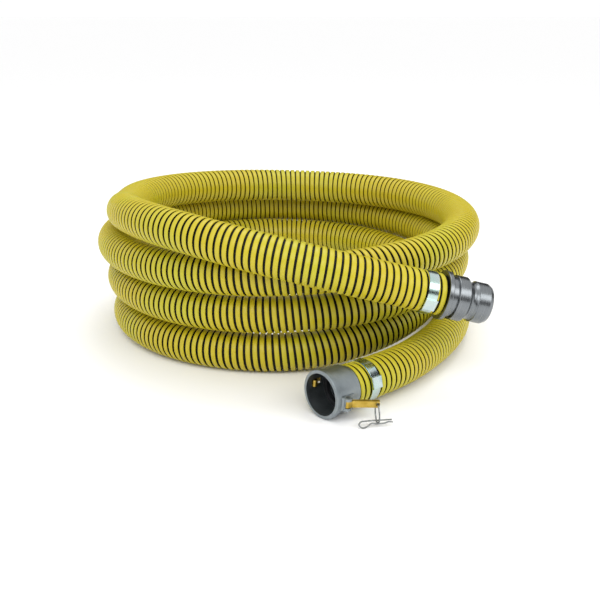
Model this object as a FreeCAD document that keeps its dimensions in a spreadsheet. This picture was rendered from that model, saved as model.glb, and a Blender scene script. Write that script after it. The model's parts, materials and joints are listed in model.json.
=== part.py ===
import FreeCAD, Part
import math
import os

import Sketcher
from FreeCAD import Placement, Rotation, Vector

# Coiled suction hose, four turns high, with a cam-and-groove adapter on its upper end and a
# cam-and-groove coupler with two cam arms on its lower end. Millimetres, +Z up, floor at z = 0.
# The origin is under the middle of the whole coil, and -Y is the side with the couplings.

DIMENSIONS = {
    # Hose
    "hose_radius": 32.0,
    "hose_bore_radius": 25.5,
    "coil_centre_x": -0.9,
    "coil_centre_y": 62.9,
    # Turns of the coil, from the floor up: centre, radius and height of each turn's centreline
    "turn_a_x": 8.0, "turn_a_y": 25.0, "turn_a_radius": 300.0, "turn_a_height": 32.0,
    "turn_b_x": -18.0, "turn_b_y": 5.5, "turn_b_radius": 284.0, "turn_b_height": 94.0,
    "turn_c_x": -4.0, "turn_c_y": 13.0, "turn_c_radius": 314.0, "turn_c_height": 156.0,
    "turn_d_x": 15.5, "turn_d_y": -28.0, "turn_d_radius": 304.0, "turn_d_height": 212.0,
    "turn_b_lean": 2.8, "turn_c_lean": 3.9, "turn_d_lean": 2.6,
    "bottom_turn_sweep": 300.0,
    "top_turn_sweep": 220.0,
    "seam_half_width": 5.0,
    # Hose shank and bore that both couplings share
    "shank_length": 40.0,
    "shank_radius": 25.5,
    "shank_root_radius": 24.9,
    "barb_pitch": 9.0,
    "waterway_radius": 22.5,
    # Male adapter, stations counted from the end of the hose
    "flange_radius": 38.0,
    "flange_thickness": 7.0,
    "adapter_neck_radius": 31.0,
    "shoulder_radius": 34.6,
    "shoulder_start": 18.0,
    "shoulder_end": 36.0,
    "groove_end": 52.0,
    "groove_arc_radius": 9.8,
    "tip_radius": 31.45,
    "tip_land_end": 70.0,
    "tip_end_radius": 28.6,
    "adapter_end": 76.0,
    "tip_bore_radius": 24.5,
    # Female coupler, stations counted from the end of the hose
    "coupler_neck_radius": 31.0,
    "coupler_neck_end": 9.0,
    "coupler_body_radius": 35.0,
    "coupler_face": 52.0,
    "face_ring_radius": 37.2,
    "face_ring_width": 9.0,
    "socket_radius": 31.95,
    "mouth_land": 11.0,
    "cam_chamber_radius": 33.0,
    "gasket_seat_station": 17.0,
    "gasket_floor_station": 11.0,
    "gasket_radius": 33.4,
    "gasket_bore_radius": 25.5,
    # Cam arms and their ears
    "pivot_station": 35.0,
    "pivot_height": 39.0,
    "pin_radius": 3.0,
    "pin_length": 21.5,
    "arm_bore_radius": 3.06,
    "arm_width": 10.4,
    "ear_gap": 11.2,
    "ear_width": 20.0,
    "ear_radius": 6.6,
    "ear_foot": 16.0,
    "window_front": 6.0,
    "window_back": 13.0,
    "hub_radius": 5.5,
    "nose_reach": 6.5,
    "nose_radius": 4.4,
    "handle_inner": 2.6,
    "handle_outer": 2.4,
    "handle_length": 48.0,
    "handle_splay": 12.0,
    "tip_corner_radius": 3.0,
    "ring_hole_station": 43.0,
    "ring_hole_radius": 2.9,
    "arm_roll": -8.0,
    "near_arm_open": 20.0,
    # Pull rings and safety clips
    "wire_radius": 1.1,
    "ring_radius": 14.0,
    "near_ring_lean": 20.0,
    "far_ring_lean": 10.0,
    "clip_straight": 31.0,
    "clip_eye_radius": 6.4,
    "clip_tilt": 60.0,
    "clip_gap": 5.4,
    "clip_tail": 12.0,
    # Band clamps
    "band_width": 15.9,
    "band_thickness": 1.1,
    "adapter_band_station": 24.0,
    "coupler_band_station": 29.4,
    "buckle_length": 19.0,
    "buckle_width": 19.0,
    "buckle_height": 3.4,
    "tail_width": 14.6,
    "tail_sweep": 46.0,
    "tail_thickness": 1.0,
}

# Centreline of the hose's upper lead, from its end in the adapter to the top turn, counted from
# the coil's centre. It comes off the top turn, crosses the front of the coil and runs out past it.
UPPER_ROUTE = [
    (237.7, -341.1, 156.7),
    (171.0, -353.0, 175.0),
    (95.0, -362.0, 195.0),
    (17.0, -359.0, 213.0),
    (-60.0, -342.0, 228.0),
    (-134.0, -309.0, 240.0),
    (-199.0, -258.0, 245.0),
    (-249.0, -191.0, 244.0),
    (-280.0, -113.0, 237.0),
    (-288.5, -28.0, 223.9),
]

# Centreline of the lower lead, from the bottom turn along the floor to its end in the coupler.
LOWER_ROUTE = [
    (308.0, 25.0, 32.0),
    (309.0, -49.0, 32.0),
    (294.0, -122.0, 32.0),
    (267.0, -191.0, 32.3),
    (232.0, -255.0, 33.2),
    (193.0, -316.0, 35.2),
    (147.0, -369.0, 37.6),
    (94.0, -414.0, 37.6),
]

doc = FreeCAD.newDocument("CoiledSuctionHose")
sheet = doc.addObject("Spreadsheet::Sheet", "Dims")
for row, (alias, value) in enumerate(DIMENSIONS.items(), start=1):
    sheet.set(f"A{row}", alias)
    sheet.set(f"B{row}", str(value))
    sheet.setAlias(f"B{row}", alias)
doc.recompute()


class Size:
    """A value read from the sheet, or a sum of such values, with the formula that binds it."""

    def __init__(self, value, formula):
        self.value = value
        self.formula = formula

    def __add__(self, other):
        return Size(self.value + other.value, f"{self.formula} + {other.formula}")

    def __sub__(self, other):
        return Size(self.value - other.value, f"{self.formula} - ({other.formula})")

    def __mul__(self, factor):
        return Size(self.value * factor, f"({self.formula}) * {factor}")

    def __neg__(self):
        return self * -1


ZERO = Size(0.0, "0")


def size(alias):
    return Size(float(sheet.get(alias)), f"Dims.{alias}")


def number(alias):
    return float(sheet.get(alias))


def bind(thing, **sizes):
    """Set an object's properties from sizes, each held by its formula."""
    for name, item in sizes.items():
        thing.setExpression(name, item.formula)


# ---------------------------------------------------------------- sketches and simple solids

def origin_plane(body, role):
    return next(item for item in body.Origin.OriginFeatures if item.Role == role)


def new_sketch(body, role, name):
    sketch = body.newObject("Sketcher::SketchObject", name)
    sketch.AttachmentSupport = [(origin_plane(body, role), "")]
    sketch.MapMode = "FlatFace"
    return sketch


def hold_point(sketch, edge, end, across, along):
    """Hold one end of a sketch edge at its distances from the sketch's origin."""
    for kind, item in (("DistanceX", across), ("DistanceY", along)):
        held = sketch.addConstraint(Sketcher.Constraint(kind, -1, 1, edge, end, item.value))
        sketch.setExpression(f"Constraints[{held}]", item.formula)


def draw_outline(sketch, points, arcs=None):
    """Draw a closed outline. arcs gives, for the edge that leaves a point, a point in its middle,
    and either its radius or how far across its centre lies, which holds a half circle better."""
    arcs = arcs or {}
    ends = []
    for index, (across, along) in enumerate(points):
        start = Vector(across.value, along.value, 0)
        following = points[(index + 1) % len(points)]
        stop = Vector(following[0].value, following[1].value, 0)
        if index in arcs:
            middle, kind, item = arcs[index]
            curve = Part.ArcOfCircle(start, Vector(middle[0], middle[1], 0), stop)
            edge = sketch.addGeometry(curve, False)
            forward = (sketch.getPoint(edge, 1) - start).Length < 1e-6
            ends.append((edge, 1, 2) if forward else (edge, 2, 1))
            if kind == "Radius":
                held = sketch.addConstraint(Sketcher.Constraint("Radius", edge, item.value))
            else:
                held = sketch.addConstraint(Sketcher.Constraint("DistanceX", -1, 1, edge, 3, item.value))
            sketch.setExpression(f"Constraints[{held}]", item.formula)
        else:
            edge = sketch.addGeometry(Part.LineSegment(start, stop), False)
            ends.append((edge, 1, 2))
    for index, (edge, first, last) in enumerate(ends):
        next_edge, next_first, _ = ends[(index + 1) % len(ends)]
        sketch.addConstraint(Sketcher.Constraint("Coincident", edge, last, next_edge, next_first))
        hold_point(sketch, edge, first, *points[index])


def turned_body(label, points, arcs=None):
    """A body turned about Z from an outline of radius and height."""
    body = doc.addObject("PartDesign::Body", label)
    sketch = new_sketch(body, "XZ_Plane", f"{label}_outline")
    draw_outline(sketch, points, arcs)
    turn = body.newObject("PartDesign::Revolution", f"{label}_turn")
    turn.Profile = sketch
    turn.ReferenceAxis = (sketch, ["V_Axis"])
    turn.Angle = 360
    doc.recompute()
    return body


def padded(body, sketch, width, name):
    pad = body.newObject("PartDesign::Pad", name)
    pad.Profile = sketch
    pad.Midplane = True
    bind(pad, Length=width)
    doc.recompute()
    return pad


def pocketed(body, sketch, width, name):
    """Cut a sketch out of a body on both sides of its plane, and see that it took something away."""
    before = body.Shape.Volume
    pocket = body.newObject("PartDesign::Pocket", name)
    pocket.Profile = sketch
    pocket.Midplane = True
    bind(pocket, Length=width)
    doc.recompute()
    if body.Shape.Volume > before - 1e-3:
        raise RuntimeError(f"{name} cuts nothing")
    return pocket


def rounded(body, edges, radius, name):
    """Round the named edges of a body's last feature."""
    base = body.Tip
    fillet = body.newObject("PartDesign::Fillet", name)
    fillet.Base = (base, edges)
    fillet.Radius = radius
    doc.recompute()
    return fillet


def ring_edges(body, rings):
    """Names of the full circles about Z that have one of the given radii and heights."""
    found = []
    for index, edge in enumerate(body.Shape.Edges, start=1):
        if not isinstance(edge.Curve, Part.Circle) or len(edge.Vertexes) > 1:
            continue
        for radius, height in rings:
            same_size = abs(edge.Curve.Radius - radius) < 0.02
            if same_size and abs(edge.Curve.Center.z - height) < 0.02:
                found.append(f"Edge{index}")
    return found


def cylinder(label, radius, height):
    item = doc.addObject("Part::Cylinder", label)
    bind(item, Radius=radius, Height=height)
    return item


def sleeve(label, outer, inner, height):
    """A plain ring standing on z = 0."""
    wall = cylinder(f"{label}_outer", outer, height)
    hole = cylinder(f"{label}_inner", inner, height)
    ring = doc.addObject("Part::Cut", label)
    ring.Base = wall
    ring.Tool = hole
    return ring


def frame_at(origin, forward, sideways):
    """Placement with +Z along forward and +X as near to sideways as it can be."""
    return Placement(origin, Rotation(sideways, Vector(), forward, "ZXY"))


# ---------------------------------------------------------------- hose

def coil_point(point):
    return Vector(*point) + Vector(number("coil_centre_x"), number("coil_centre_y"), 0)


def rounded_path(points):
    """Straight runs joined by tangent arcs, with each arc as large as its two runs allow."""
    edges = []
    radii = []
    place = points[0]
    for before, corner, after in zip(points, points[1:], points[2:]):
        arriving = corner - before
        leaving = after - corner
        half_turn = arriving.getAngle(leaving) / 2
        trim = 0.45 * min(arriving.Length, leaving.Length)
        radius = trim / math.tan(half_turn)
        start = corner - arriving.normalize() * trim
        stop = corner + leaving.normalize() * trim
        inward = ((start + stop) * 0.5 - corner).normalize()
        middle = corner + inward * (radius / math.cos(half_turn) - radius)
        edges.append(Part.LineSegment(place, start).toShape())
        edges.append(Part.Arc(start, middle, stop).toShape())
        radii.append(radius)
        place = stop
    edges.append(Part.LineSegment(place, points[-1]).toShape())
    return Part.Wire(edges), radii


def swept_rod(path, start, direction, radius):
    circle = Part.Wire(Part.Circle(start, direction, radius).toShape())
    return path.makePipeShell([circle], True, False)


def hose_lead(label, route):
    """A straight-walled tube along a lead of the hose."""
    points = [coil_point(point) for point in route]
    path, radii = rounded_path(points)
    direction = points[1] - points[0]
    outside = swept_rod(path, points[0], direction, number("hose_radius"))
    inside = swept_rod(path, points[0], direction, number("hose_bore_radius"))
    tube = doc.addObject("Part::Feature", label)
    tube.Shape = outside.cut(inside)
    tube.Placement = Placement()
    section = math.pi * (number("hose_radius") ** 2 - number("hose_bore_radius") ** 2)
    print(label, "length", round(path.Length), "smallest bend", round(min(radii)),
          "volume over section times length", round(tube.Shape.Volume / (section * path.Length), 4))
    return tube


def turn_of_hose(name, lean_axis, sweep=None, start_angle=0.0):
    """One turn as a torus, tilted about a level axis by the turn's lean."""
    turn = doc.addObject("Part::Torus", f"turn_{name}")
    bind(turn, Radius1=size(f"turn_{name}_radius"), Radius2=size("hose_radius"))
    if sweep:
        bind(turn, Angle3=sweep)
    centre = Vector(number(f"turn_{name}_x"), number(f"turn_{name}_y"), number(f"turn_{name}_height"))
    lean = number(f"turn_{name}_lean") if lean_axis else 0.0
    tilt = Rotation(lean_axis or Vector(0, 0, 1), lean)
    turn.Placement = Placement(coil_point(centre), tilt.multiply(Rotation(Vector(0, 0, 1), start_angle)))
    return turn


def seam(lower, upper, sweep=None, start_angle=0.0):
    """A thin upright ring between two turns, where their walls press on each other."""
    radius = (size(f"turn_{lower}_radius") + size(f"turn_{upper}_radius")) * 0.5
    height = size(f"turn_{upper}_height") - size(f"turn_{lower}_height")
    label = f"seam_{lower}_{upper}"
    ring = sleeve(label, radius + size("seam_half_width"), radius - size("seam_half_width"), height)
    if sweep:
        bind(ring.Base, Angle=sweep)
    middle = Vector((number(f"turn_{lower}_x") + number(f"turn_{upper}_x")) / 2,
                    (number(f"turn_{lower}_y") + number(f"turn_{upper}_y")) / 2,
                    number(f"turn_{lower}_height"))
    ring.Placement = Placement(coil_point(middle), Rotation(Vector(0, 0, 1), start_angle))
    return ring


def hose_coil():
    """The outer shape of the four stacked turns. Each upper turn leans down towards the back right,
    and the bottom and top turns are open at the front right, where the hose steps down a level."""
    lean_axis = Vector(-0.5, 0.85, 0)
    top_start = 180.0 - number("top_turn_sweep")
    pieces = [
        turn_of_hose("a", None, size("bottom_turn_sweep")),
        turn_of_hose("b", lean_axis),
        turn_of_hose("c", lean_axis),
        turn_of_hose("d", lean_axis, size("top_turn_sweep"), top_start),
        seam("a", "b", size("bottom_turn_sweep")),
        seam("b", "c"),
        seam("c", "d", size("top_turn_sweep"), top_start),
    ]
    coil = doc.addObject("Part::MultiFuse", "hose_coil")
    coil.Shapes = pieces
    return coil


# ---------------------------------------------------------------- couplings

def shank_outline():
    """Outer side of the barbed shank, from its inner end to the end of the hose."""
    root = size("shank_root_radius")
    crest = size("shank_radius")
    points = [(root, ZERO)]
    for barb in range(1, 4):
        height = size("barb_pitch") * barb
        points.append((crest, height))
        points.append((root, height + size("barb_pitch") * 0.1))
    points.append((root, size("shank_length")))
    return points


def station(alias):
    return size("shank_length") + size(alias)


def adapter_body():
    """Male end: flange against the hose, neck, shoulder, cam groove and tip."""
    points = [(size("waterway_radius"), ZERO)]
    points += shank_outline()
    points += [
        (size("flange_radius"), size("shank_length")),
        (size("flange_radius"), station("flange_thickness")),
        (size("adapter_neck_radius"), station("flange_thickness")),
        (size("adapter_neck_radius"), station("shoulder_start")),
        (size("shoulder_radius"), station("shoulder_start")),
        (size("shoulder_radius"), station("shoulder_end")),
        (size("tip_radius"), station("groove_end")),
        (size("tip_radius"), station("tip_land_end")),
        (size("tip_end_radius"), station("adapter_end")),
        (size("tip_bore_radius"), station("adapter_end")),
        (size("tip_bore_radius"), station("tip_land_end")),
        (size("waterway_radius"), station("shoulder_end")),
    ]
    groove_from = len(points) - 7
    start = points[groove_from]
    stop = points[groove_from + 1]
    chord = Vector(stop[0].value - start[0].value, stop[1].value - start[1].value, 0)
    radius = number("groove_arc_radius")
    sagitta = radius - math.sqrt(radius ** 2 - (chord.Length / 2) ** 2)
    inward = Vector(-chord.y, chord.x, 0).normalize()
    middle = Vector(start[0].value, start[1].value, 0) + chord * 0.5 + inward * sagitta
    arcs = {groove_from: ((middle.x, middle.y), "Radius", size("groove_arc_radius"))}
    body = turned_body("adapter_body", points, arcs)
    hose_end = number("shank_length")
    rims = ring_edges(body, [
        (number("flange_radius"), hose_end),
        (number("flange_radius"), hose_end + number("flange_thickness")),
        (number("shoulder_radius"), hose_end + number("shoulder_start")),
        (number("shoulder_radius"), hose_end + number("shoulder_end")),
        (number("tip_end_radius"), hose_end + number("adapter_end")),
        (number("tip_bore_radius"), hose_end + number("adapter_end")),
    ])
    rounded(body, rims, 1.2, "adapter_rims")
    return body


def ear_pair(body, side):
    """Two ears that hold one arm's pin, as a block on the wall whose middle the slot takes out."""
    across = size("pivot_height") * side
    along = station("pivot_station")
    reach = size("ear_radius")
    foot = size("ear_foot")
    wall = (size("cam_chamber_radius") + size("coupler_body_radius")) * 0.5 * side
    points = [
        (wall, along + foot * 0.7),
        (across, along + reach),
        (across, along - reach),
        (wall, along - foot),
    ]
    crown = (across.value + reach.value * side, along.value)
    name = "near" if side > 0 else "far"
    sketch = new_sketch(body, "XZ_Plane", f"{name}_ear_outline")
    draw_outline(sketch, points, {1: (crown, "Centre", across)})
    padded(body, sketch, size("ear_width"), f"{name}_ears")
    return across, along


def arm_window(body, side, across, along):
    """The slot between the ears, which also opens the wall so that the cam can reach the groove."""
    inner = size("cam_chamber_radius") * (side * 0.9)
    outer = across + size("ear_radius") * (side * 1.5)
    name = "near" if side > 0 else "far"
    sketch = new_sketch(body, "XZ_Plane", f"{name}_window_outline")
    draw_outline(sketch, [
        (inner, along + size("window_front")),
        (outer, along + size("window_front")),
        (outer, along - size("window_back")),
        (inner, along - size("window_back")),
    ])
    pocketed(body, sketch, size("ear_gap"), f"{name}_window")


def pin_hole(body, side, across, along):
    name = "near" if side > 0 else "far"
    sketch = new_sketch(body, "XZ_Plane", f"{name}_pin_hole_outline")
    circle = sketch.addGeometry(Part.Circle(Vector(across.value, along.value, 0), Vector(0, 0, 1),
                                            number("pin_radius")), False)
    held = sketch.addConstraint(Sketcher.Constraint("Radius", circle, number("pin_radius")))
    sketch.setExpression(f"Constraints[{held}]", "Dims.pin_radius")
    hold_point(sketch, circle, 3, across, along)
    pocketed(body, sketch, size("ear_width") * 1.5, f"{name}_pin_hole")


def coupler_body():
    """Female end: barbed shank, neck, socket with its gasket seat, face ring and two pairs of ears."""
    face = station("coupler_face")
    points = [(size("waterway_radius"), ZERO)]
    points += shank_outline()
    points += [
        (size("coupler_neck_radius"), size("shank_length")),
        (size("coupler_neck_radius"), station("coupler_neck_end")),
        (size("coupler_body_radius"), station("coupler_neck_end")),
        (size("coupler_body_radius"), face - size("face_ring_width")),
        (size("face_ring_radius"), face - size("face_ring_width")),
        (size("face_ring_radius"), face),
        (size("socket_radius"), face),
        (size("socket_radius"), face - size("mouth_land")),
        (size("cam_chamber_radius"), face - size("mouth_land")),
        (size("cam_chamber_radius"), station("gasket_seat_station")),
        (size("gasket_radius"), station("gasket_seat_station")),
        (size("gasket_radius"), station("gasket_floor_station")),
        (size("waterway_radius"), station("gasket_floor_station")),
    ]
    body = turned_body("coupler_body", points)
    hose_end = number("shank_length")
    front = hose_end + number("coupler_face")
    rims = ring_edges(body, [
        (number("coupler_neck_radius"), hose_end),
        (number("coupler_body_radius"), hose_end + number("coupler_neck_end")),
        (number("face_ring_radius"), front),
        (number("face_ring_radius"), front - number("face_ring_width")),
    ])
    rounded(body, rims, 1.5, "coupler_rims")
    places = [(side, *ear_pair(body, side)) for side in (1, -1)]
    for side, across, along in places:
        arm_window(body, side, across, along)
        pin_hole(body, side, across, along)
    return body


def gasket():
    return turned_body("coupler_gasket", [
        (size("gasket_bore_radius"), station("gasket_floor_station")),
        (size("gasket_radius"), station("gasket_floor_station")),
        (size("gasket_radius"), station("gasket_seat_station")),
        (size("gasket_bore_radius"), station("gasket_seat_station")),
    ])


# ---------------------------------------------------------------- cam arms, rings and clips

def cam_arm(label):
    """A cam and its handle in the arm's own frame: pin along Y at the origin, cam nose towards -X,
    handle towards -Z when it is closed, splayed outwards so that its ring clears the hose."""
    body = doc.addObject("PartDesign::Body", label)
    splay = math.radians(number("handle_splay"))
    hub = size("hub_radius")
    nose = -size("nose_reach")
    outer = size("handle_outer")
    inner = -size("handle_inner")
    tip = -size("handle_length")
    outer_lift = size("handle_length") * round(math.tan(splay), 4)
    bend = -hub * 1.6
    points = [
        (nose, size("nose_radius")),
        (ZERO, hub),
        (hub, ZERO),
        (outer + hub * 0.25, bend * 0.75),
        (outer + outer_lift, tip + size("handle_outer")),
        (inner + outer_lift, tip),
        (inner + hub * 0.3, bend),
        (nose, -size("nose_radius")),
    ]
    quarter = number("hub_radius") * math.sqrt(0.5)
    nose_tip = (nose.value - number("nose_radius"), 0.0)
    sketch = new_sketch(body, "XZ_Plane", f"{label}_outline")
    draw_outline(sketch, points, {1: ((quarter, quarter), "Centre", ZERO), 7: (nose_tip, "Centre", nose)})
    padded(body, sketch, size("arm_width"), f"{label}_cam")
    bore = new_sketch(body, "XZ_Plane", f"{label}_bore_outline")
    circle = bore.addGeometry(Part.Circle(Vector(), Vector(0, 0, 1), number("arm_bore_radius")), False)
    bore.addConstraint(Sketcher.Constraint("Coincident", circle, 3, -1, 1))
    held = bore.addConstraint(Sketcher.Constraint("Radius", circle, number("arm_bore_radius")))
    bore.setExpression(f"Constraints[{held}]", "Dims.arm_bore_radius")
    pocketed(body, bore, size("arm_width") * 1.5, f"{label}_bore")
    hole = new_sketch(body, "YZ_Plane", f"{label}_ring_hole_outline")
    circle = hole.addGeometry(Part.Circle(Vector(0, -number("ring_hole_station"), 0), Vector(0, 0, 1),
                                          number("ring_hole_radius")), False)
    held = hole.addConstraint(Sketcher.Constraint("Radius", circle, number("ring_hole_radius")))
    hole.setExpression(f"Constraints[{held}]", "Dims.ring_hole_radius")
    hold_point(hole, circle, 3, ZERO, -size("ring_hole_station"))
    pocketed(body, hole, size("handle_length"), f"{label}_ring_hole")
    corners = [f"Edge{index}" for index, edge in enumerate(body.Shape.Edges, start=1)
               if edge.BoundBox.ZMax < -number("handle_length") + 3 and edge.BoundBox.YLength < 0.01]
    rounded(body, corners, number("tip_corner_radius"), f"{label}_tip")
    return body


def safety_clip(label):
    """A hairpin clip of round wire in its own frame: the straight leg along X through the origin,
    the eye on the -X side, and the bowed leg below it, towards -Y, a wire's width away at x = 0."""
    gap = number("clip_gap")
    eye = number("clip_eye_radius")
    straight = number("clip_straight")
    tail = number("clip_tail")
    left = -straight * 0.55
    points = [
        Vector(straight * 0.62, 0, 0),
        Vector(left, 0, 0),
        Vector(left - eye * 1.45, -eye * 0.1, 0),
        Vector(left - eye * 2.1, -eye * 0.9, 0),
        Vector(left - eye * 1.45, -eye * 1.75, 0),
        Vector(left - eye * 0.35, -eye * 1.6, 0),
        Vector(left * 0.62, -eye * 0.55, 0),
        Vector(left * 0.3, -gap * 1.05, 0),
        Vector(0, -gap, 0),
        Vector(tail * 0.7, -gap * 0.98, 0),
        Vector(tail * 1.15, -gap * 0.55, 0),
        Vector(tail * 1.7, -gap * 0.75, 0),
    ]
    path, _ = rounded_path(points)
    clip = doc.addObject("Part::Feature", label)
    clip.Shape = swept_rod(path, points[0], points[1] - points[0], number("wire_radius"))
    return clip


def place_arm_set(name, arm_frame, outward_turn):
    """Arm, pin, ring and clip of one side, from the frame of the arm's pin with the arm closed."""
    arm = cam_arm(f"{name}_cam_arm")
    arm.Placement = arm_frame.multiply(Placement(Vector(), Rotation(Vector(0, 1, 0), outward_turn)))
    pin = cylinder(f"{name}_pivot_pin", size("pin_radius"), size("pin_length"))
    lay = Placement(Vector(0, number("pin_length") / 2, 0), Rotation(Vector(1, 0, 0), 90))
    pin.Placement = arm_frame.multiply(lay)

    splay = Rotation(Vector(0, 1, 0), -number("handle_splay"))
    drop = number("ring_hole_station")
    lift = drop * math.tan(math.radians(number("handle_splay")))
    middle = (number("handle_outer") - number("handle_inner")) / 2
    hole = arm.Placement.multVec(Vector(lift + middle, 0, -drop))
    face_normal = arm.Placement.Rotation.multVec(splay.multVec(Vector(1, 0, 0)))
    down = Vector(0, 0, -1)
    down = (down - face_normal * down.dot(face_normal)).normalize()
    lean = math.radians(number(f"{name}_ring_lean"))
    hang = down * math.cos(lean) + face_normal * math.sin(lean)

    ring = doc.addObject("Part::Torus", f"{name}_pull_ring")
    bind(ring, Radius1=size("ring_radius"), Radius2=size("wire_radius"))
    centre = hole + hang * number("ring_radius")
    ring_axis = face_normal.cross(down)
    ring.Placement = frame_at(centre, ring_axis, face_normal)

    clip = safety_clip(f"{name}_safety_clip")
    tilt = math.radians(number("clip_tilt"))
    grip = down * math.cos(tilt) + face_normal * math.sin(tilt)
    inner_leg = centre + grip * (number("ring_radius") - number("clip_gap") / 2)
    along = ring_axis if ring_axis.x > 0 else -ring_axis
    clip.Placement = Placement(inner_leg, Rotation(along, -grip, Vector(), "XYZ"))
    report_joint(name, arm_frame, hole, face_normal, centre + grip * number("ring_radius"), along.cross(grip))
    return [arm, pin, ring, clip]


def report_joint(name, arm_frame, hole, face_normal, grip_point, grip_axis):
    for what, point, axis in (
            ("pin", arm_frame.Base, arm_frame.Rotation.multVec(Vector(0, 1, 0))),
            ("ring hole", hole, face_normal),
            ("clip grip", grip_point, grip_axis)):
        print(name, what, "at", [round(value, 3) for value in point],
              "axis", [round(value, 5) for value in axis])


# ---------------------------------------------------------------- band clamps

def band_clamp(name, end_frame, distance, turn):
    """A steel strap round the hose with its buckle and the folded tail of the strap."""
    place = end_frame.multiply(Placement(Vector(0, 0, -distance), Rotation(Vector(0, 0, 1), turn)))
    outside = size("hose_radius") + size("band_thickness")
    band = sleeve(f"{name}_clamp_band", outside, size("hose_radius"), size("band_width"))
    lower = Placement(Vector(0, 0, -number("band_width") / 2), Rotation())
    band.Placement = place.multiply(lower)

    buckle = clamp_buckle(f"{name}_clamp_buckle", outside)
    buckle.Placement = place
    tail = sleeve(f"{name}_clamp_tail", outside + size("tail_thickness"), outside, size("tail_width"))
    bind(tail.Base, Angle=size("tail_sweep"))
    half_buckle = math.degrees(math.asin(number("buckle_length") / 2 / outside.value))
    lower = Placement(Vector(0, 0, -number("tail_width") / 2), Rotation(Vector(0, 0, 1), half_buckle))
    tail.Placement = place.multiply(lower)
    return [band, buckle, tail]


def clamp_buckle(label, strap_radius):
    """A block with rounded top edges whose underside follows the strap's outer face."""
    box = doc.addObject("Part::Box", f"{label}_block")
    bind(box, Length=strap_radius + size("buckle_height"), Width=size("buckle_length"),
         Height=size("buckle_width"))
    box.Placement = Placement(
        Vector(0, -number("buckle_length") / 2, -number("buckle_width") / 2), Rotation())
    core = cylinder(f"{label}_core", strap_radius, size("buckle_width") * 2)
    core.Placement = Placement(Vector(0, 0, -number("buckle_width")), Rotation())
    rough = doc.addObject("Part::Cut", f"{label}_rough")
    rough.Base = box
    rough.Tool = core
    doc.recompute()
    piece = doc.addObject("Part::Fillet", label)
    piece.Base = rough
    top = rough.Shape.BoundBox.XMax
    piece.Edges = [(index, 1.2, 1.2) for index, edge in enumerate(rough.Shape.Edges, start=1)
                   if edge.BoundBox.XMin > top - 0.01]
    return piece


# ---------------------------------------------------------------- the whole part

def coupling_frame(route, end, neighbour):
    """Frame of a coupling: origin at its shank's inner end, +Z out of the hose, +X level."""
    tip = coil_point(route[end])
    forward = (tip - coil_point(route[neighbour])).normalize()
    sideways = Vector(0, 0, 1).cross(forward).normalize()
    return frame_at(tip - forward * number("shank_length"), forward, sideways)


def build():
    adapter_frame = coupling_frame(UPPER_ROUTE, 0, 1)
    coupler_frame = coupling_frame(LOWER_ROUTE, -1, -2).multiply(
        Placement(Vector(), Rotation(Vector(0, 0, 1), number("arm_roll"))))
    pieces = [hose_coil(), hose_lead("hose_upper_lead", UPPER_ROUTE),
              hose_lead("hose_lower_lead", LOWER_ROUTE)]

    adapter = adapter_body()
    adapter.Placement = adapter_frame
    coupler = coupler_body()
    coupler.Placement = coupler_frame
    seal = gasket()
    seal.Placement = coupler_frame
    pieces += [adapter, coupler, seal]

    hose_end = Placement(Vector(0, 0, number("shank_length")), Rotation())
    pieces += band_clamp("adapter", adapter_frame.multiply(hose_end), number("adapter_band_station"), 200.0)
    pieces += band_clamp("coupler", coupler_frame.multiply(hose_end), number("coupler_band_station"), 22.0)

    pivot = Vector(number("pivot_height"), 0, number("shank_length") + number("pivot_station"))
    near_frame = coupler_frame.multiply(Placement(pivot, Rotation()))
    half_round = Placement(Vector(), Rotation(Vector(0, 0, 1), 180))
    far_frame = coupler_frame.multiply(half_round).multiply(Placement(pivot, Rotation()))
    pieces += place_arm_set("near", near_frame, -number("near_arm_open"))
    pieces += place_arm_set("far", far_frame, 0.0)
    doc.recompute()
    for what, frame in (("adapter", adapter_frame), ("coupler", coupler_frame)):
        print(what, "frame", frame)
    return pieces


def export(pieces):
    for item in doc.Objects:
        if "Invalid" in item.State or "Error" in item.State:
            raise RuntimeError(f"{item.Label} is {item.State}")
    for piece in pieces:
        if piece.Shape.isNull() or not piece.Shape.isValid() or piece.Shape.Volume <= 0:
            raise RuntimeError(f"{piece.Label} has no valid shape")
        if len(piece.Shape.Solids) != 1:
            raise RuntimeError(f"{piece.Label} has {len(piece.Shape.Solids)} solids")
    os.makedirs("parts", exist_ok=True)
    whole = FreeCAD.BoundBox()
    for piece in pieces:
        piece.Shape.exportStep(f"parts/{piece.Label}.step")
        whole.add(piece.Shape.BoundBox)
        print(piece.Label, round(piece.Shape.Volume / 1000, 2), "cm3")
    print("whole", whole)


export(build())
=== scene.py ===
import json
import math

import bpy
import numpy as np
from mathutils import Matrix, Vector


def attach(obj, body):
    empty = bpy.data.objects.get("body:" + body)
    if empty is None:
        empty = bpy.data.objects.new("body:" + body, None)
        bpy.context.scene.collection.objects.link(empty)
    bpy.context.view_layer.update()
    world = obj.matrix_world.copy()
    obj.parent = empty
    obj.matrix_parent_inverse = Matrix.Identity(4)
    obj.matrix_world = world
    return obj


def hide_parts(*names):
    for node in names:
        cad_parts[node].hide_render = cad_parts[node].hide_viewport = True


# A coiled suction hose with a yellow rib wound round its black rubber wall, a machined cam-and-groove
# adapter on its upper end and a cast cam-and-groove coupler on its lower end. Metres, +Z up.

MM = 0.001

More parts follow.
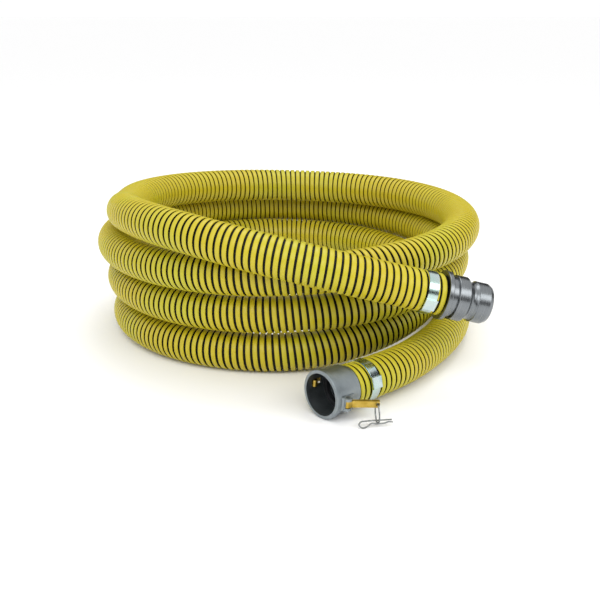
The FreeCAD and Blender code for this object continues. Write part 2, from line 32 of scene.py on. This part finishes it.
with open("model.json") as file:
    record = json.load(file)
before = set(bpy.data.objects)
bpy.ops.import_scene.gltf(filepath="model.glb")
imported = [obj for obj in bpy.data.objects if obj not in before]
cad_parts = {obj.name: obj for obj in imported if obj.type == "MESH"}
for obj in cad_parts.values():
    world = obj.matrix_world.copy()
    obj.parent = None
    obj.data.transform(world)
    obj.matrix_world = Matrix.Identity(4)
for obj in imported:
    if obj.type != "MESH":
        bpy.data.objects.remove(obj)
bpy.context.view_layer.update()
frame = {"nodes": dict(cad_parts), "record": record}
mounts = {mount["name"]: mount for mount in frame["record"]["mounts"]}

COIL_CENTRE = Vector((-0.9, 62.9, 0.0)) * MM   # the centre of the coil's turns on the floor


# ---------------------------------------------------------------- camera

CAMERA_PLACE = COIL_CENTRE + Vector((24.55, -1685.6, 578.9)) * MM
CAMERA_DOWN = math.radians(17.78)
CAMERA_LENS = 55.64


def make_camera():
    data = bpy.data.cameras.new("camera")
    data.lens = CAMERA_LENS
    data.sensor_width = 36.0
    camera = bpy.data.objects.new("camera", data)
    bpy.context.scene.collection.objects.link(camera)
    camera.location = CAMERA_PLACE
    camera.rotation_euler = (math.pi / 2 - CAMERA_DOWN, 0.0, 0.0)
    bpy.context.scene.camera = camera


make_camera()


# ---------------------------------------------------------------- the hose's route

HOSE_DIAMETER = 64 * MM

# The leads, in millimetres from the coil's centre, from the adapter to the top turn and from the
# bottom turn to the coupler.
UPPER_ROUTE = [
    (237.7, -341.1, 156.7),
    (171.0, -353.0, 175.0),
    (95.0, -362.0, 195.0),
    (17.0, -359.0, 213.0),
    (-60.0, -342.0, 228.0),
    (-134.0, -309.0, 240.0),
    (-199.0, -258.0, 245.0),
    (-249.0, -191.0, 244.0),
    (-280.0, -113.0, 237.0),
    (-288.5, -28.0, 223.9),
]
LOWER_ROUTE = [
    (308.0, 25.0, 32.0),
    (309.0, -49.0, 32.0),
    (294.0, -122.0, 32.0),
    (267.0, -191.0, 32.3),
    (232.0, -255.0, 33.2),
    (193.0, -316.0, 35.2),
    (147.0, -369.0, 37.6),
    (94.0, -414.0, 37.6),
]

# Radius and height of the coil at each quarter turn, in millimetres: left, back, right and front in
# turn, from the top turn down to the floor.
COIL_STATIONS = [
    (289, 225), (274, 208), (320, 199), (303, 175),
    (315, 166.5), (330, 150), (307, 133), (277, 105),
    (301, 102.5), (287, 99), (265, 81), (261, 32),
    (296, 32), (323, 32), (312, 32),
]
COIL_START, COIL_STOP = -0.015, 3.487   # in turns from the left end of the top turn
POINTS_PER_TURN = 24
LINE_STEPS = 24         # points along the line for each control point of the route


def eased(values, place):
    """The value at place along evenly spaced values, on a Catmull-Rom curve through them."""
    last = len(values) - 1
    cell = min(max(int(math.floor(place)), 0), last - 1)
    before, start, stop, after = (values[min(max(cell + k, 0), last)] for k in (-1, 0, 1, 2))
    t = place - cell
    return 0.5 * (2 * start + (stop - before) * t + (2 * before - 5 * start + 4 * stop - after) * t ** 2
                  + (3 * start - before - 3 * stop + after) * t ** 3)


def coil_points():
    """Control points of the coil's turns, which stand just outside the turns they shape."""
    radii = [radius for radius, _ in COIL_STATIONS]
    heights = [height for _, height in COIL_STATIONS]
    count = round((COIL_STOP - COIL_START) * POINTS_PER_TURN)
    outside = 1 / math.cos(math.pi / POINTS_PER_TURN)
    points = []
    for step in range(1, count):
        turns = COIL_START + (COIL_STOP - COIL_START) * step / count
        azimuth = math.pi - 2 * math.pi * turns
        radius = eased(radii, 4 * turns) * outside
        height = max(eased(heights, 4 * turns), HOSE_DIAMETER / 2 / MM)
        points.append((radius * math.cos(azimuth), radius * math.sin(azimuth), height))
    return points


def route_line(name, points, steps):
    """Points along the smooth curve that the route's points control, steps to each of them."""
    data = bpy.data.curves.new(name, "CURVE")
    data.dimensions = "3D"
    data.resolution_u = steps
    spline = data.splines.new("NURBS")
    spline.points.add(len(points) - 1)
    for place, point in zip(spline.points, points):
        place.co = (*(COIL_CENTRE + Vector(point) * MM), 1.0)
    spline.order_u = 3
    spline.use_endpoint_u = True
    curve = bpy.data.objects.new(name, data)
    mesh = bpy.data.meshes.new_from_object(curve)
    line = np.array([vertex.co for vertex in mesh.vertices], float)
    bpy.data.meshes.remove(mesh)
    bpy.data.objects.remove(curve)
    return line


class Centreline:
    """The hose's centreline, with a frame that turns with it without twisting."""

    def __init__(self, line):
        self.line = line
        steps = np.linalg.norm(np.diff(line, axis=0), axis=1)
        self.stations = np.concatenate([[0.0], np.cumsum(steps)])
        self.length = self.stations[-1]
        self.tangents = np.gradient(line, self.stations, axis=0)
        self.tangents /= np.linalg.norm(self.tangents, axis=1)[:, None]
        self.bends = np.gradient(self.tangents, self.stations, axis=0)
        side = np.cross(self.tangents[0], (0.0, 0.0, 1.0))
        sides = []
        for tangent in self.tangents:
            side = side - tangent * side.dot(tangent)
            side /= np.linalg.norm(side)
            sides.append(side)
        self.sides = np.array(sides)
        self.ups = np.cross(self.tangents, self.sides)

    def read(self, values, stations):
        return np.stack([np.interp(stations, self.stations, values[:, k]) for k in range(3)], axis=-1)

    def around(self, angles, stations):
        """Unit directions away from the centreline at these angles and stations."""
        side, up = self.read(self.sides, stations), self.read(self.ups, stations)
        return np.cos(angles)[..., None] * side + np.sin(angles)[..., None] * up

    def place(self, angles, stations, radii):
        stations = np.clip(stations, 0.0, self.length)
        return self.read(self.line, stations) + self.around(angles, stations) * np.asarray(radii)[..., None]

    def stretch(self, angles, stations, radius):
        """How much longer the hose's surface is there than its centreline."""
        away = self.around(angles, stations) * radius
        return 1.0 - (self.read(self.bends, stations) * away).sum(axis=-1)


# ---------------------------------------------------------------- mesh helpers

def mesh_object(name, points, faces):
    mesh = bpy.data.meshes.new(name)
    mesh.from_pydata([tuple(point) for point in points], [], [tuple(face) for face in faces])
    mesh.update()
    mesh.polygons.foreach_set("use_smooth", np.ones(len(mesh.polygons), bool))
    piece = bpy.data.objects.new(name, mesh)
    bpy.context.scene.collection.objects.link(piece)
    return piece


def strip_faces(rows, columns):
    """Quads of a grid of points, row after row, in which the last column joins the first."""
    row, column = np.meshgrid(np.arange(rows - 1), np.arange(columns), indexing="ij")
    ahead = (column + 1) % columns
    quads = np.stack([row * columns + column, row * columns + ahead,
                      (row + 1) * columns + ahead, (row + 1) * columns + column], axis=-1)
    return quads.reshape(-1, 4)


# ---------------------------------------------------------------- the hose

WALL_RADIUS = 28.8 * MM
BORE_RADIUS = 25.5 * MM
RIB_PITCH = 10.75 * MM
RIB_WIDTH = 7.7 * MM
RIB_STEPS = 36          # points round the hose for each turn of the rib
WALL_STEPS = 40         # points round the hose's wall
WALL_RING = 7 * MM      # distance between rings of points along the wall

# The rib's section: distance from its middle as a share of half its width, and its radius in millimetres.
# Its underside and the feet of its flanks are sunk in the wall's rubber; the rest of each flank, up to 30.7
# mm, is painted the wall's black as painted shade in the grooves between the rib's turns.
RIB_SECTION = [
    (-1.0, 28.4), (-1.0, 30.7), (-0.92, 31.5), (-0.7, 31.87), (-0.3, 32.0),
    (0.3, 32.0), (0.7, 31.87), (0.92, 31.5), (1.0, 30.7), (1.0, 28.4),
]
PAINTED_SHADE_SIDES = (0, 8, 9)   # the flanks, painted black as shade in the grooves, and the underside hidden in the wall, each by its first point


def hose_wall(centreline):
    """The rubber wall, a hollow tube from the adapter to the coupler."""
    rings = round(centreline.length / WALL_RING)
    stations = np.linspace(0.0, centreline.length, rings)
    angles = np.arange(WALL_STEPS) * 2 * math.pi / WALL_STEPS
    turned, along = np.meshgrid(angles, stations)
    outside = centreline.place(turned, along, np.full(turned.shape, WALL_RADIUS))
    inside = centreline.place(turned, along, np.full(turned.shape, BORE_RADIUS))
    points = np.concatenate([outside.reshape(-1, 3), inside.reshape(-1, 3)])
    first_inside = rings * WALL_STEPS
    outer = strip_faces(rings, WALL_STEPS)
    inner = outer[:, ::-1] + first_inside
    ends = []
    for ring, order in ((0, 1), (rings - 1, -1)):
        for step in range(WALL_STEPS):
            here = ring * WALL_STEPS + step
            ahead = ring * WALL_STEPS + (step + 1) % WALL_STEPS
            ends.append([here, here + first_inside, ahead + first_inside, ahead][::order])
    return mesh_object("hose_wall", points, np.concatenate([outer, inner, ends]))


def hose_rib(name, centreline, start, stop):
    """The rib from one station to another: its section wound round the hose right-handed, as wide
    on the outside of a bend as on the inside."""
    turns = (stop - start) / RIB_PITCH
    steps = round(turns * RIB_STEPS)
    middle = np.linspace(start, stop, steps + 1)[:, None]
    angles = 2 * math.pi * middle / RIB_PITCH
    share = np.array([s for s, _ in RIB_SECTION])[None, :]
    radii = np.array([r for _, r in RIB_SECTION])[None, :] * MM
    stretch = centreline.stretch(angles, middle, HOSE_DIAMETER / 2)
    stations = middle + share * RIB_WIDTH / 2 / stretch
    grid = np.broadcast_to(angles, stations.shape)
    points = centreline.place(grid, stations, np.broadcast_to(radii, stations.shape))
    columns = len(RIB_SECTION)
    faces = [tuple(face) for face in strip_faces(steps + 1, columns)]
    faces.append(tuple(range(columns)))
    faces.append(tuple(range((steps + 1) * columns - 1, steps * columns - 1, -1)))
    piece = mesh_object(name, points.reshape(-1, 3), faces)
    # The flanks take the wall's black rubber finish as painted shade in the grooves between the rib's
    # turns.
    in_painted_shade = np.array([column in PAINTED_SHADE_SIDES for column in range(columns)])
    slots = np.concatenate([np.tile(in_painted_shade, steps), [True, True]]).astype(int)
    piece.data.polygons.foreach_set("material_index", slots)
    return piece


route = UPPER_ROUTE + coil_points() + LOWER_ROUTE
centreline = Centreline(route_line("hose_route", route, LINE_STEPS))
wall = hose_wall(centreline)
rib_names = ["rib_top_turn", "rib_second_turn", "rib_third_turn", "rib_bottom_turn"]
rib_share = centreline.length / len(rib_names)
ribs = [hose_rib(name, centreline, k * rib_share, (k + 1) * rib_share)
        for k, name in enumerate(rib_names)]


# ---------------------------------------------------------------- materials

class Finish:
    """A Principled material whose colour, roughness and relief come from procedural textures."""

    def __init__(self, name, metallic=0.0, **values):
        self.material = bpy.data.materials.new(name)
        self.material.use_nodes = True
        self.nodes = self.material.node_tree.nodes
        self.links = self.material.node_tree.links
        self.shader = self.nodes["Principled BSDF"]
        self.shader.inputs["Metallic"].default_value = metallic
        for socket, value in values.items():
            self.shader.inputs[socket.replace("_", " ")].default_value = value
        self.place = self.nodes.new("ShaderNodeTexCoord").outputs["Object"]

    def link(self, source, target):
        self.links.new(source, target)

    def noise(self, scale, detail=4.0, roughness=0.55):
        texture = self.nodes.new("ShaderNodeTexNoise")
        texture.inputs["Scale"].default_value = scale
        texture.inputs["Detail"].default_value = detail
        texture.inputs["Roughness"].default_value = roughness
        self.link(self.place, texture.inputs["Vector"])
        return texture.outputs["Fac"]

    def rings(self, origin, axis, scale, detail=3.0):
        """Noise that changes only along an axis, as a lathe's or a brush's marks do."""
        away = self.nodes.new("ShaderNodeVectorMath")
        away.operation = "SUBTRACT"
        away.inputs[1].default_value = origin
        self.link(self.place, away.inputs[0])
        along = self.nodes.new("ShaderNodeVectorMath")
        along.operation = "DOT_PRODUCT"
        along.inputs[1].default_value = axis
        self.link(away.outputs["Vector"], along.inputs[0])
        texture = self.nodes.new("ShaderNodeTexNoise")
        texture.noise_dimensions = "1D"
        texture.inputs["Scale"].default_value = scale
        texture.inputs["Detail"].default_value = detail
        self.link(along.outputs["Value"], texture.inputs["W"])
        return texture.outputs["Fac"]

    def ramp(self, value, stops):
        """Colours at places from 0 to 1, with a smooth change between them."""
        ramp = self.nodes.new("ShaderNodeValToRGB")
        elements = ramp.color_ramp.elements
        while len(elements) < len(stops):
            elements.new(0.5)
        for element, (position, colour) in zip(elements, stops):
            element.position = position
            element.color = (*colour, 1.0)
        self.link(value, ramp.inputs["Fac"])
        return ramp.outputs["Color"]

    def blend(self, share, first, second):
        """A mix of two colours, where any of the three may be a value or a texture's output."""
        mix = self.nodes.new("ShaderNodeMix")
        mix.data_type = "RGBA"
        sockets = [socket for socket in mix.inputs if socket.enabled]
        for socket, value in zip(sockets, (share, first, second)):
            if isinstance(value, (int, float)):
                socket.default_value = value
            elif isinstance(value, tuple):
                socket.default_value = (*value, 1.0)
            else:
                self.link(value, socket)
        return next(socket for socket in mix.outputs if socket.enabled)

    def stretched(self, value, low, high, from_low=0.0, from_high=1.0):
        """The value from from_low to from_high, spread evenly from low to high."""
        spread = self.nodes.new("ShaderNodeMapRange")
        spread.inputs["From Min"].default_value = from_low
        spread.inputs["From Max"].default_value = from_high
        spread.inputs["To Min"].default_value = low
        spread.inputs["To Max"].default_value = high
        self.link(value, spread.inputs["Value"])
        return spread.outputs["Result"]

    def colour(self, value):
        self.link(value, self.shader.inputs["Base Color"])

    def rough(self, value):
        self.link(value, self.shader.inputs["Roughness"])

    def relief(self, value, strength, distance):
        bump = self.nodes.new("ShaderNodeBump")
        bump.inputs["Strength"].default_value = strength
        bump.inputs["Distance"].default_value = distance
        self.link(value, bump.inputs["Height"])
        self.link(bump.outputs["Normal"], self.shader.inputs["Normal"])


def yellow_plastic():
    finish = Finish("yellow_rib", Specular_IOR_Level=0.45)
    drift = finish.noise(7.0, 3.0)
    colour = finish.ramp(drift, [(0.3, (0.47, 0.37, 0.008)), (0.5, (0.48, 0.395, 0.010)),
                                 (0.7, (0.44, 0.41, 0.014))])
    scuffs = finish.noise(150.0, 6.0, 0.65)
    dulled = finish.ramp(scuffs, [(0.50, (0.0, 0.0, 0.0)), (0.80, (1.0, 1.0, 1.0))])
    finish.colour(finish.blend(dulled, colour, (0.45, 0.40, 0.03)))
    finish.rough(finish.stretched(scuffs, 0.28, 0.50, 0.3, 0.7))
    finish.relief(finish.noise(420.0, 5.0), 0.10, 0.0004)
    return finish.material


def black_rubber():
    finish = Finish("black_wall", Specular_IOR_Level=0.2)
    drift = finish.noise(60.0, 4.0)
    finish.colour(finish.ramp(drift, [(0.3, (0.0022, 0.003, 0.002)), (0.7, (0.005, 0.006, 0.004))]))
    finish.rough(finish.stretched(drift, 0.5, 0.7))
    finish.relief(finish.noise(900.0, 3.0), 0.15, 0.0003)
    return finish.material


def cast_aluminium():
    finish = Finish("cast_aluminium", metallic=1.0)
    drift = finish.noise(34.0, 5.0)
    finish.colour(finish.ramp(drift, [(0.25, (0.20, 0.23, 0.245)), (0.75, (0.33, 0.365, 0.38))]))
    finish.rough(finish.stretched(drift, 0.36, 0.52))
    finish.relief(finish.noise(480.0, 5.0, 0.6), 0.45, 0.0005)
    return finish.material


def turned_aluminium():
    """The adapter's machined metal, with a lathe's rings round its axis."""
    finish = Finish("turned_aluminium", metallic=1.0)
    tip = mounts["adapter_tip"]
    rings = finish.rings(tip["pos_m"], tip["axis"], 900.0)
    drift = finish.noise(26.0, 5.0)
    colour = finish.ramp(drift, [(0.25, (0.155, 0.170, 0.180)), (0.75, (0.225, 0.240, 0.250))])
    finish.colour(finish.blend(0.25, colour, finish.ramp(rings, [(0.3, (0.10, 0.11, 0.12)),
                                                                 (0.7, (0.36, 0.37, 0.38))])))
    finish.rough(finish.stretched(rings, 0.20, 0.36, 0.3, 0.7))
    finish.relief(rings, 0.10, 0.0002)
    return finish.material


def zinc_steel(name, mount):
    """Rolled strap with marks along it and the blue and green cast of bright zinc."""
    finish = Finish(name, metallic=1.0)
    rings = finish.rings(mounts[mount]["pos_m"], mounts[mount]["axis"], 1500.0)
    drift = finish.noise(24.0, 2.0)
    finish.colour(finish.ramp(drift, [(0.35, (0.36, 0.50, 0.55)), (0.5, (0.52, 0.60, 0.60)),
                                      (0.65, (0.46, 0.60, 0.56))]))
    finish.rough(finish.stretched(rings, 0.14, 0.28, 0.3, 0.7))
    return finish.material


def adapter_zinc():
    return zinc_steel("adapter_band_zinc", "adapter_tip")


def coupler_zinc():
    return zinc_steel("coupler_band_zinc", "coupler_mouth")


def brass():
    finish = Finish("brass", metallic=1.0)
    drift = finish.noise(90.0, 5.0)
    finish.colour(finish.ramp(drift, [(0.3, (0.40, 0.26, 0.035)), (0.7, (0.62, 0.44, 0.10))]))
    finish.rough(finish.stretched(drift, 0.26, 0.44))
    finish.relief(finish.noise(600.0, 4.0), 0.2, 0.0003)
    return finish.material


def drawn_steel():
    finish = Finish("drawn_steel", metallic=1.0)
    drift = finish.noise(160.0, 4.0)
    finish.colour(finish.ramp(drift, [(0.3, (0.16, 0.17, 0.17)), (0.7, (0.30, 0.31, 0.31))]))
    finish.rough(finish.stretched(drift, 0.22, 0.40))
    return finish.material


def nitrile():
    finish = Finish("gasket_rubber", Specular_IOR_Level=0.4)
    drift = finish.noise(120.0, 4.0)
    finish.colour(finish.ramp(drift, [(0.3, (0.006, 0.006, 0.007)), (0.7, (0.014, 0.014, 0.016))]))
    finish.rough(finish.stretched(drift, 0.5, 0.7))
    return finish.material


CAD_FINISHES = {
    turned_aluminium: ["adapter_body"],
    cast_aluminium: ["coupler_body"],
    nitrile: ["coupler_gasket"],
    adapter_zinc: ["adapter_clamp_band", "adapter_clamp_buckle", "adapter_clamp_tail"],
    coupler_zinc: ["coupler_clamp_band", "coupler_clamp_buckle", "coupler_clamp_tail"],
    brass: ["near_cam_arm", "far_cam_arm"],
    drawn_steel: ["near_pivot_pin", "far_pivot_pin", "near_pull_ring", "far_pull_ring",
                  "near_safety_clip", "far_safety_clip"],
}
for finish, names in CAD_FINISHES.items():
    made = finish()
    for name in names:
        mesh = frame["nodes"][name].data
        mesh.materials.clear()
        mesh.materials.append(made)

rib_finish, wall_finish = yellow_plastic(), black_rubber()
for piece in ribs:
    piece.data.materials.append(rib_finish)
    # The rib's second slot is the wall's black, which paints shade on the rib's flanks.
    piece.data.materials.append(wall_finish)
    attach(piece, "hose")
wall.data.materials.append(wall_finish)
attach(wall, "hose")
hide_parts("hose_coil", "hose_upper_lead", "hose_lower_lead")


# ---------------------------------------------------------------- floor and light

FLOOR_SIZE = 80.0
MIDDLE = (0.0, 0.0, 0.1)   # what the lights and cards face


def plain(name, colour, roughness):
    """A matt material for the studio's own things, not for the hose."""
    material = bpy.data.materials.new(name)
    material.use_nodes = True
    shader = material.node_tree.nodes["Principled BSDF"]
    shader.inputs["Base Color"].default_value = (*colour, 1.0)
    shader.inputs["Roughness"].default_value = roughness
    shader.inputs["Specular IOR Level"].default_value = 0.1
    return material


def sheet(name, width, height, material):
    """A flat studio sheet round the origin."""
    x, y = width / 2, height / 2
    piece = mesh_object(name, [(-x, -y, 0), (x, -y, 0), (x, y, 0), (-x, y, 0)], [(0, 1, 2, 3)])
    piece.data.materials.append(material)
    return piece


def facing(thing, place, target):
    thing.location = place
    thing.rotation_euler = (Vector(target) - Vector(place)).to_track_quat("-Z", "Y").to_euler()


def dark_card(name, place, width, height, material):
    """A studio flag that only bright metal sees, as something dark to reflect."""
    card = sheet(name, width, height, material)
    card.visible_camera = False
    card.visible_shadow = False
    card.visible_diffuse = False
    facing(card, place, MIDDLE)


def softbox(name, place, width, height, power):
    data = bpy.data.lights.new(name, "AREA")
    data.shape = "RECTANGLE"
    data.size, data.size_y = width, height
    data.energy = power
    lamp = bpy.data.objects.new(name, data)
    bpy.context.scene.collection.objects.link(lamp)
    facing(lamp, place, MIDDLE)


def make_light():
    world = bpy.data.worlds.new("studio")
    bpy.context.scene.world = world
    world.use_nodes = True
    sky = world.node_tree.nodes["Background"]
    sky.inputs["Color"].default_value = (1.0, 1.0, 1.0, 1.0)
    sky.inputs["Strength"].default_value = 1.03
    softbox("key", (-0.3, -2.1, 2.0), 2.0, 1.2, 22.0)
    softbox("side", (2.0, -1.6, 1.7), 1.6, 1.0, 15.0)
    softbox("top", (0.2, 0.6, 2.7), 1.8, 1.2, 18.0)
    black = plain("flag", (0.02, 0.02, 0.02), 1.0)
    dark_card("front_flag", (1.0, -3.4, 0.6), 6.5, 1.0, black)
    dark_card("back_flag", (0.2, 3.4, 1.5), 7.0, 2.4, black)
    dark_card("right_flag", (3.6, 0.2, 1.6), 4.0, 1.8, black)
    bpy.context.scene.view_settings.view_transform = "Standard"


sheet("floor", FLOOR_SIZE, FLOOR_SIZE, plain("paper", (0.96, 0.96, 0.96), 0.9))
make_light()


# ---------------------------------------------------------------- the end

bpy.context.view_layer.update()
